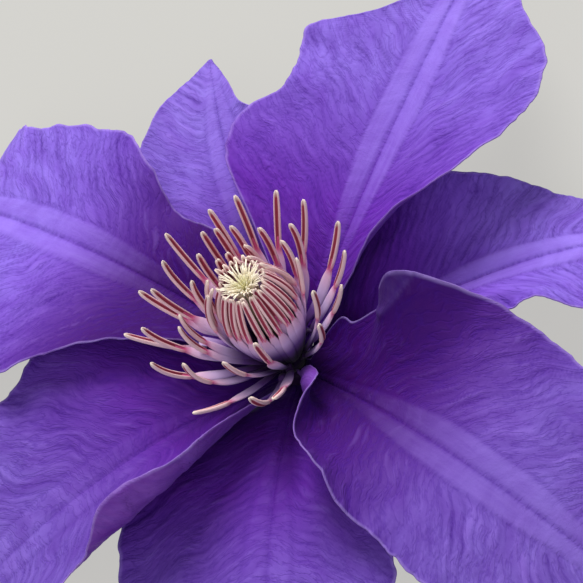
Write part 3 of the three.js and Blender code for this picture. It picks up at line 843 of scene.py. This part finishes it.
def blade_faces(loops):
    """Faces between the loops, with both ends capped."""
    at, faces = ring_faces(loops)
    for end, flip in ((at[0], False), (at[-1], True)):
        over = end[1:COUNT + 1]
        under = end[COUNT + 2:][::-1]
        cap = [[over[j], under[j], under[j + 1], over[j + 1]] for j in range(COUNT - 1)]
        cap.append([end[0], under[0], over[0]])
        cap.append([over[-1], under[-1], end[COUNT + 1]])
        faces += [[int(v) for v in (face[::-1] if flip else face)] for face in cap]
    return faces


def looped(values):
    """Values of the blade's surface, repeated on both faces and both margins."""
    return np.concatenate([values[:, :1], values, values[:, -1:], values[:, ::-1]], 1)


def build_blade(name, finish):
    _, s, x = blades[name]
    height, marks, grain = relief_of(name)
    loops = blade_loops(name, height)
    side = np.ones_like(loops[..., 0])  # 1 on the upper face, 0 on the lower one
    side[:, COUNT + 2:] = 0
    side[:, [0, COUNT + 1]] = 0.5
    t = s / SEPALS[name]["length"]
    signed = np.broadcast_to(SHARE * np.sign(np.arange(COUNT) - STEPS_ACROSS), x.shape)
    layer = side + 3 * list(SEPALS).index(name)  # keeps the noise of two faces apart
    piece = new_mesh("blade_of_" + name, loops.reshape(-1, 3), blade_faces(loops), finish, {
        "place": np.stack([looped(t), looped(signed), side], -1),
        "marks": looped(marks),
        "grain": np.stack([looped(grain), looped(x), layer], -1),
    })
    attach(piece, BODY)
    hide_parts(name)
    return piece


print("points round each loop of a blade:", 2 * COUNT + 2)

# %% [markdown]
# ## The sepals' finish
#
# The pigment is deep purple at the base and clear violet further out. Near the receptacle the
# violet runs to near black, which is painted shade as well as pigment. Veins are darker, ribs
# paler, and the back is duller, because the pigment lies in the upper skin. The margins are
# painted paler in broken patches, a painted highlight along the edges. The skin is covered
# with tiny domed cells. They give it a faint velvet look at grazing angles, which is the
# shader's sheen.

# %% The skin of a sepal
def skin_of(tree, grain, ribs):
    """Noises of the skin: broad patches, fine specks, and a fine net that spares the ribs."""
    broad = stretched(tree, grain, (0.16, 0.16, 1))
    mottle = noise(tree, broad, scale=1.0, detail=5.0, roughness=0.6)
    speck = noise(tree, grain, scale=1.7, detail=4.0, roughness=0.65)
    drawn_out = stretched(tree, grain, (0.62, 0.22, 1))
    wrinkle = noise(tree, drawn_out, scale=1.0, detail=2.5, roughness=0.6)
    net = ramp(tree, wrinkle, [(0.43, BLACK), (0.47, WHITE), (0.49, WHITE), (0.54, BLACK)])
    return mottle, speck, times(tree, net, maths(tree, "SUBTRACT", 1.0, ribs))


def upper_face(tree, place, marks, grain, skin):
    """Colour of the upper face: violet, deeper at the base, with dark veins, pale ribs, and painted
    shade and highlight.
    """
    mottle, speck, net = skin
    # The two darkest stops, near the receptacle, are painted shade as well as pigment.
    colour = ramp(tree, place[0], [
        (0, (34, 1, 54)), (0.12, (72, 8, 112)), (0.3, (102, 42, 166)),
        (0.6, (130, 102, 206)), (1, (143, 119, 218)),
    ])
    uneven = times(tree, maths(tree, "SUBTRACT", mottle, 0.35), 1.6)
    streak = noise(tree, stretched(tree, grain, (0.1, 1.1, 1)), scale=1.0, detail=3.0)
    pale = times(tree, marks[1], times(tree, streak, 0.55))
    dark = times(tree, marks[0], maths(tree, "ADD", 0.3, speck))
    # Painted highlight: the swellings between the creases are lightened, more so further out.
    light = times(tree, times(tree, marks[0], -1.9), place[0])
    patchy = times(tree, net, maths(tree, "SUBTRACT", speck, 0.28))
    # The third mark, laid on as (42, 2, 70), is each sepal's painted shade. The dark mark holds the
    # veins and the painted shade of the creases, and the pale mark holds the ribs and the painted
    # light of sepal_7's flap.
    return layered(
        tree, colour, (uneven, (98, 50, 168)), (pale, (152, 124, 222)), (marks[2], (42, 2, 70)),
        (dark, (52, 10, 112)), (light, (146, 114, 212)), (patchy, (62, 22, 130)),
    )


print("violet near the tip, linear:", [round(value, 2) for value in screen(143, 119, 218)])

# %% Finish of the sepals
def sepal_finish():
    material, tree, shader = new_finish("sepal_violet", 0.55, specular=0.04, sheen=0.04, sockets={
        "Sheen Roughness": 0.4, "Sheen Tint": screen(190, 175, 255),
    })
    _, place = attribute(tree, "place")
    _, marks = attribute(tree, "marks")
    grain, _ = attribute(tree, "grain")
    mottle, speck, net = skin = skin_of(tree, grain, marks[1])
    upper = upper_face(tree, place, marks, grain, skin)
    lower = ramp(tree, mottle, [(0.3, (94, 38, 142)), (0.7, (124, 76, 172))])
    # The back shows the dark mark more weakly: the veins, with the painted shade of the creases.
    lower = layered(tree, lower, (times(tree, marks[0], 0.5), (92, 60, 156)))
    # Painted highlight along the margins, broken up by the mottle.
    rim = mask(tree, maths(tree, "ABSOLUTE", place[1]), 0.975, 0.995)
    rim_highlight = times(tree, rim, maths(tree, "SUBTRACT", mottle, 0.2))
    colour = blended(tree, place[2], lower, upper)
    painted(tree, shader, colour, (rim_highlight, (176, 150, 226)))
    height = maths(tree, "SUBTRACT", speck, times(tree, net, 0.7))
    bumped(tree, shader, height, strength=0.4, distance=0.0003)
    return material


violet = sepal_finish()
for name in SEPALS:
    piece = build_blade(name, violet)
    print(piece.name, len(piece.data.polygons), "faces")

# %% [markdown]
# ## The stamens' paths
#
# Each stamen springs from a collar on the receptacle. Those that have opened lean out over the
# sepals, and the rest stand in a barrel round the styles. The path is walked like a midrib: it
# rises from one angle to another while it turns a little aside. It is then kept above the
# sepals and outside the styles.

# %% Values of the stamens
LOOSE_FOOT, BARREL_FOOT = (2.3, 3.7), (2.3, 4.5)  # radius and height where a stamen springs
LOOSE = [  # azimuth, rise at the foot and at the tip, length, sideways turn
    [2, 35, 68, 23, -28], [16, 30, 62, 24, -5], [20, 54, 96, 23, -6], [32, 38, 94, 24, -12],
    [43, 32, 68, 26, -22], [49, 46, 100, 24, 0], [56, 54, 116, 24, 8], [62, 38, 56, 27, -28],
    [69, 40, 74, 28, -3], [72, 44, 106, 26, -2], [80, 40, 95, 29, 8], [84, 44, 108, 27, 0],
    [85, 54, 118, 24, 4], [95, 42, 102, 27, -2], [102, 54, 118, 24, -10],
    [110, 48, 104, 25, 0], [112, 40, 78, 29, -6], [125, 35, 98, 28, 4], [134, 36, 80, 26, 18],
    [136, 32, 70, 27, 8], [140, 50, 108, 24, -4], [150, 25, 55, 27, 12], [156, 25, 80, 26, 10],
    [165, 42, 98, 23, 5], [170, 16, 80, 25, 18], [173, 40, 95, 23, 10], [188, 22, 95, 23, 20],
    [213, 24, 50, 23, -5], [222, 44, 78, 23, 20], [240, 20, 75, 23, 4], [248, 50, 84, 22, 14],
    [256, 34, 46, 22, -8], [306, 40, 72, 23, -30], [322, 50, 80, 23, -26],
    [331, 42, 66, 23, -18], [350, 64, 80, 23, -16],
]
BARREL = dict(count=34, rise=57, rise_tip=130, length=22.8, slim=0.88)
BARREL_SCATTER = dict(azimuth=6, rise=5, rise_tip=7, length=0.8, turn=8)


def barrel_stamen(i):
    """The i-th stamen of the barrel: evenly placed, then every value strays a little."""
    even = [360 / BARREL["count"] * i, BARREL["rise"], BARREL["rise_tip"], BARREL["length"], 0]
    return [
        value + most * (2 * draw(i, k) - 1)
        for k, (value, most) in enumerate(zip(even, BARREL_SCATTER.values()), 1)
    ]


print("stamens that lean out:", len(LOOSE), "and in the barrel:", BARREL["count"])

# %% Walk the stamens
BLADE, RIB_SOLID, GAP = 0.7, 0.3, 0.35  # of the solid sepals that the stamens clear
STAMEN_HALF = 0.67  # half the thickness of an anther, with a little to spare
ROOM = BLADE / 2 + RIB_SOLID + GAP + STAMEN_HALF
ROOM_STEEP = 0.5  # a sepal that is steeper than this asks for no more room
STYLE_REACH = [  # radius of the tuft of styles at each height
    [2, 1.4], [8, 1.6], [14, 1.8], [20, 2.2], [24, 2.7], [25.8, 3.1], [26.8, 4.2], [32, 4.4],
]
STYLES_FROM = 5  # height above which a stamen keeps outside the styles
PATH_STEPS = 50
PATH_BEND = 1.5  # above 1, a stamen bends more towards its tip
LOOK_ASIDE = 1.2  # how far to each side a stamen looks for the sepals below it


def highest_sepal(x, y):
    """Least height that clears every sepal at a place."""
    least = -math.inf
    for tree in trees.values():
        hit, normal, _, _ = tree.ray_cast(Vector((x, y, FAR)), Vector((0, 0, -1)))
        if hit is not None:
            least = max(least, hit.z + ROOM / max(abs(normal.z), ROOM_STEEP))
    return least


def stamen_path(spec, foot):
    """Points of a stamen from foot to tip, and the direction that it stands in."""
    azimuth, rise, rise_tip, length, turn = spec
    turned = math.radians(azimuth)
    u = (np.arange(PATH_STEPS) + 0.5) / PATH_STEPS
    angle = np.radians(rise + (rise_tip - rise) * u**PATH_BEND)
    strides = direction(angle, np.radians(turn * u)) * length / PATH_STEPS
    path = turned_about(walked(strides, [foot[0], 0, foot[1]]), turned)
    sideways = np.array([-math.sin(turned), math.cos(turned)])
    for p in path:
        for away in (-LOOK_ASIDE, 0, LOOK_ASIDE):
            p[2] = max(p[2], highest_sepal(*(p[:2] + away * sideways)))
        radius = math.hypot(p[0], p[1])
        least = along(STYLE_REACH, p[2]) + GAP + STAMEN_HALF
        if p[2] > STYLES_FROM and radius < least:
            p[:2] *= least / radius
    return path, turned


stamen_paths = [stamen_path(spec, LOOSE_FOOT) for spec in LOOSE]
stamen_paths += [stamen_path(barrel_stamen(i), BARREL_FOOT) for i in range(BARREL["count"])]
print("highest stamen:", max(path[:, 2].max() for path, _ in stamen_paths).round(1), "mm")

# %% [markdown]
# ## Filaments and anthers
#
# A filament is a flat strap, widest below the anther. The anther sits on it as a slimmer bar:
# two long pollen sacs with a maroon groove between them on the side that faces the styles.
# Both are lofted: a ring of points is set out at each step of the path and joined to the next.

# %% Sections of a stamen
ANTHER_START, FILAMENT_END = 0.6, 0.7  # shares of the path: the anther sits on the filament
FILAMENT_WIDTH = [[0, 1], [0.2, 1.5], [0.42, 2.2], [0.53, 2.1], [0.62, 1.1], [0.7, 0.7]]
FILAMENT_THICK = [[0, 0.7], [0.3, 0.55], [0.55, 0.6], [0.7, 0.4]]
ANTHER_WIDTH = [[0.6, 0.7], [0.64, 1.1], [0.8, 1.25], [0.93, 1.15], [0.98, 0.9], [1, 0.4]]
ANTHER_THICK = [[0.6, 0.4], [0.65, 0.75], [0.9, 0.7], [0.98, 0.6], [1, 0.3]]
# Half of an anther's section, as shares of its width and thickness: from the groove of the
# outer face over the pollen sac to the groove of the inner face.
SAC = [
    (0, -0.12), (0.1, -0.18), (0.17, -0.42), (0.3, -0.5), (0.44, -0.36), (0.5, 0),
    (0.44, 0.36), (0.3, 0.5), (0.17, 0.4), (0.1, 0.12), (0, 0.06),
]
ANTHER_SECTION = SAC + [(-a, b) for a, b in SAC[-2:0:-1]]
ROUND = [(math.cos(a) / 2, math.sin(a) / 2) for a in np.linspace(0, 2 * math.pi, 13)[:-1]]
print("points in an anther's section:", len(ANTHER_SECTION))

# %% Helpers for lofting
def frames_along(path, turned, shares):
    """Point, crosswise direction and upward direction at shares of a path."""
    at = shares * (len(path) - 1)
    low = np.clip(at.astype(int), 0, len(path) - 2)
    part = (at - low)[:, None]
    p = path[low] * (1 - part) + path[low + 1] * part
    slope = np.gradient(path, axis=0)
    tangent = unit(slope[low] * (1 - part) + slope[low + 1] * part)
    crosswise = np.array([-math.sin(turned), math.cos(turned), 0])
    up = unit(np.cross(tangent, crosswise))
    return p, np.cross(up, tangent), up


def joined(parts):
    """One list of points, closed faces and vectors from several lofted parts."""
    points, faces, vectors, start = [], [], [], 0
    for rings, values in parts:
        at, sides = ring_faces(rings)
        closed = sides + [at[0, ::-1].tolist(), at[-1].tolist()]
        faces += [[v + start for v in face] for face in closed]
        points.append(rings.reshape(-1, 3))
        vectors.append(values.reshape(-1, 3))
        start += at.size
    return np.concatenate(points), faces, np.concatenate(vectors)


def filled(shape, *values):
    """A vector for every point from values that are each spread over the whole shape."""
    return np.stack([np.broadcast_to(value, shape) for value in values], -1)


def lofted(path, turned, shares, widths, thicks, section, twist):
    """Rings of a section along a path, with (share of the path, across, over) at each point."""
    p, across, up = frames_along(path, turned, shares)
    spin = (twist * shares)[:, None]
    spun = across * np.cos(spin) + up * np.sin(spin)
    up = up * np.cos(spin) - across * np.sin(spin)
    a, b = np.array(section).T
    wide = along(widths, shares)[:, None, None]
    thick = along(thicks, shares)[:, None, None]
    rings = p[:, None] + wide * a[:, None] * spun[:, None] + thick * b[:, None] * up[:, None]
    return rings, filled(rings.shape[:2], shares[:, None], a, b)


print("three values over four points:", filled((4,), 0, 1, 2).shape)

# %% Loft the stamens
TWIST = math.radians(24)  # the most that a stamen twists, to either side
BARREL_SHADE = 1.4  # above 1, the painted shade at the foot of a barrel filament reaches higher


def slimmed(widths, slim):
    return [[share, wide * slim] for share, wide in widths]


filaments, anthers = [], []
for i, (path, turned) in enumerate(stamen_paths):
    twist = TWIST * (2 * draw(i, 21) - 1)
    in_barrel = i >= len(LOOSE)
    slim = BARREL["slim"] if in_barrel else 1
    rings, values = lofted(path, turned, np.linspace(0, FILAMENT_END, 30),
                           slimmed(FILAMENT_WIDTH, slim), FILAMENT_THICK, ROUND, twist)
    if in_barrel:
        values[..., 0] = FILAMENT_END * (values[..., 0] / FILAMENT_END) ** BARREL_SHADE
    filaments.append((rings, values))
    anthers.append(lofted(path, turned, np.linspace(ANTHER_START, 1, 26),
                          slimmed(ANTHER_WIDTH, slim), ANTHER_THICK, ANTHER_SECTION, twist))
print("points in a filament:", filaments[0][0][..., 0].size)

# %% [markdown]
# ## The stamens' finishes
#
# A filament is lilac-white, flushed pink where the anther begins, and painted dark violet to
# near black at its foot, which is painted shade among the sepal bases. An anther's pollen sacs
# are cream, with a maroon groove between them and a rosy flush beside it.

# %% Finish of the filaments
def filament_finish():
    material, tree, shader = new_finish("filament_lilac", 0.5, specular=0.12, sheen=0.05)
    _, place = attribute(tree, "place")
    # The dark stops at the foot are painted shade among the sepal bases.
    colour = ramp(tree, place[0], [
        (0, (6, 0, 10)), (0.14, (34, 8, 52)), (0.28, (104, 66, 142)),
        (0.44, (206, 180, 222)), (0.57, (228, 186, 214)), (0.63, (206, 84, 136)),
    ])
    streak = times(tree, noise(tree, scale=900.0, detail=3.0), 0.2)
    painted(tree, shader, colour, (streak, (84, 44, 118)))
    return material


lilac = filament_finish()
print(lilac.name, "has", len(lilac.node_tree.nodes), "nodes")

# %% Finish of the anthers
def anther_finish():
    material, tree, shader = new_finish("anther_cream_maroon", 0.6, specular=0.25)
    _, place = attribute(tree, "place")
    colour = ramp(tree, maths(tree, "ABSOLUTE", place[1]), [
        (0.15, (150, 28, 66)), (0.22, (180, 92, 114)), (0.3, (236, 200, 204)),
        (0.5, (240, 208, 210)),
    ])
    tip = mask(tree, place[0], 0.95, 0.99)
    root = mask(tree, place[0], 0.68, 0.6)
    grain = noise(tree, scale=2600.0, detail=3.0)
    painted(
        tree, shader, colour, (tip, (238, 220, 208)), (root, (222, 92, 140)),
        (times(tree, grain, 0.2), (214, 150, 150)),
    )
    bumped(tree, shader, grain, strength=0.5, distance=0.0001)
    return material


cream = anther_finish()
print(cream.name, "has", len(cream.node_tree.nodes), "nodes")

# %% Build the stamens
COLLAR = [  # radius and height round the section of the ring that the stamens spring from
    [1.9, 1.85], [2.35, 1.85], [2.4, 2.7], [2.8, 3.4], [2.9, 3.9], [2.9, 4.5], [2.6, 5.2],
    [1.9, 5.2],
]


def build_lofted(name, parts, finish, node):
    points, faces, values = joined(parts)
    piece = new_mesh(name, settled(points), faces, finish, {"place": values})
    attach(piece, BODY)
    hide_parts(node)
    print(name, len(faces), "faces")
    return piece


def ring_profile(profile, count):
    """Rings of a round piece from [radius, height] pairs."""
    angle = np.linspace(0, 2 * math.pi, count + 1)[:-1]
    radius, height = np.array(profile, float).T[..., None]
    return filled((len(profile), count), radius * np.cos(angle), radius * np.sin(angle), height)


collar = ring_profile(COLLAR, 40)
filaments.append((collar, np.zeros_like(collar)))
build_lofted("filaments", filaments, lilac, "stamens")
build_lofted("anthers", anthers, cream, "stamens")

# %% [markdown]
# ## The pistil
#
# The ovaries sit in a small cone, and each sends up a long silky style. The styles crowd into
# a tuft whose tips hook over. Each is lofted like a filament, but round and thin.

# %% Shape the styles
STYLE_COUNT = 150
STYLE_FOOT, STYLE_TOP = 5.5, 26.8
STYLE_INSET = 0.35  # keeps the thickness of a style within the tuft
STYLE_WIDTH = [[0, 0.45], [0.5, 0.4], [0.85, 0.33], [1, 0.16]]
GOLDEN = math.radians(137.5)  # from one style round to the next
OVARY = [[0.05, 1.85], [1.2, 1.85], [1.45, 3.5], [1.4, 5.5], [1, 7.5], [0.05, 8.2]]
HOOK = 2.2  # how far a style's tip bends over
HOOK_START = 0.82  # share of a style above which it bends


def style_path(i):
    """Points of a style, the direction it stands in and its share of the tuft's radius."""
    around = i * GOLDEN + 0.4 * draw(i, 31)
    share = math.sqrt((i + 0.5) / STYLE_COUNT)
    t = np.linspace(0, 1, 20)
    top = STYLE_TOP - 0.9 * draw(i, 32) - 0.8 * (1 - share)
    z = STYLE_FOOT + (top - STYLE_FOOT) * t
    radius = share * (along(STYLE_REACH, z) - STYLE_INSET) * (0.8 + 0.2 * t)
    bend = np.clip((t - HOOK_START) / (1 - HOOK_START), 0, 1)
    hook = HOOK * (0.5 + 0.5 * draw(i, 33))
    lean = around + 1.6 * (draw(i, 34) - 0.5)
    radius = radius - 0.5 * hook * bend * share
    z = z - 0.4 * hook * bend**3
    reach = hook * (0.25 + 0.75 * share) * bend**2
    x = radius * math.cos(around) + reach * math.cos(lean)
    y = radius * math.sin(around) + reach * math.sin(lean)
    return np.stack([x, y, z], -1), around, share


def lofted_style(i):
    """Rings of a style, with (share of its length, share of the tuft, 0) at each point."""
    path, around, share = style_path(i)
    t = np.linspace(0, 1, 28)
    rings, values = lofted(path, around, t, STYLE_WIDTH, STYLE_WIDTH, ROUND[::2], 0)
    values[..., 1:] = share, 0
    return rings, values


ovary = ring_profile(OVARY, 32)
styles = [(ovary, np.zeros_like(ovary))] + [lofted_style(i) for i in range(STYLE_COUNT)]
print("styles:", len(styles) - 1)

# %% Build the pistil
def style_finish():
    material, tree, shader = new_finish(
        "style_cream", 0.55, specular=0.3, sheen=0.3, sockets={"Sheen Roughness": 0.3}
    )
    _, place = attribute(tree, "place")
    colour = ramp(tree, place[0], [
        (0, (60, 50, 40)), (0.6, (140, 120, 90)), (0.85, (222, 210, 176)), (1, (250, 240, 222)),
    ])
    heart = times(tree, mask(tree, place[1], 0.65, 0.2), 0.45)
    painted(tree, shader, colour, (heart, (206, 208, 130)))
    return material


build_lofted("styles", styles, style_finish(), "pistil")

# %% [markdown]
# ## The stalk
#
# Under the bloom the receptacle narrows into a short stub of stalk, cut across. It is ribbed
# along its length, and its cut end is paler. Its top, under the sepals, is painted near-black
# violet, a flush deepened by painted shade.

# %% Finish of the stalk
def stalk_finish():
    material, tree, shader = new_finish("stalk_green", 0.6, specular=0.1, sheen=0.05)
    _, place = attribute(tree, "place")
    grain = noise(tree, scale=900.0, detail=4.0)
    colour = ramp(tree, grain, [(0.35, (88, 92, 46)), (0.65, (110, 104, 62))])
    # Painted shade: the top of the stalk, under the sepals, is a violet flush deepened to near black.
    flush_and_shade = mask(tree, place[0], 0.6, 0.8)
    cut = mask(tree, place[0], 0.106, 0.098)
    painted(tree, shader, colour, (flush_and_shade, (26, 2, 42)), (cut, (176, 184, 120)))
    return material


green = stalk_finish()
print(green.name, "has", len(green.node_tree.nodes), "nodes")

# %% Build the stalk
STEM_PROFILE = [
    [0.05, -7.2], [0.9, -7.2], [1.45, -7.15], [1.6, -6.8], [1.5, -5.6], [1.45, -4.5], [1.55, -3.7],
    [1.8, -3], [2.3, -2.35], [2.7, -1.8], [2.88, -1.2], [2.95, -0.6], [2.95, 0.6], [2.85, 1],
    [2.6, 1.3], [1.6, 1.5], [0.05, 1.5],
]
RIBBED_BELOW = -2
STALK_RIBS = 6
RIB_DEPTH = 0.035  # of the stalk's own ribs, as a share of its radius
REACH_DOWN = 8  # the finish counts height from this far below the middle, in these units

rings = ring_profile(STEM_PROFILE, 72)
x, y, z = np.moveaxis(rings, -1, 0)
wavy = 0.5 + 0.5 * np.cos(STALK_RIBS * np.arctan2(y, x))
ribbed = (z < RIBBED_BELOW) * (np.hypot(x, y) > 1)
rings[..., :2] *= (1 - RIB_DEPTH * wavy * ribbed)[..., None]
build_lofted("stalk", [(rings, filled(z.shape, 1 + z / REACH_DOWN, 0, 0))], green, "stem")

# %% [markdown]
# ## Sizes and the end
#
# The sizes of the solids and of the dressed bloom are printed side by side. The dressed
# bloom has to fill the same box as the solids.

# %% Write the sizes and finish
bpy.context.view_layer.update()
DRESSED_BOX = [[float(x) for x in corner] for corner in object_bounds()]
for label, box in (("solids", CAD_BOX), ("dressed", DRESSED_BOX)):
    print(label, [round((high - low) / MM, 1) for low, high in zip(*box)], "mm")
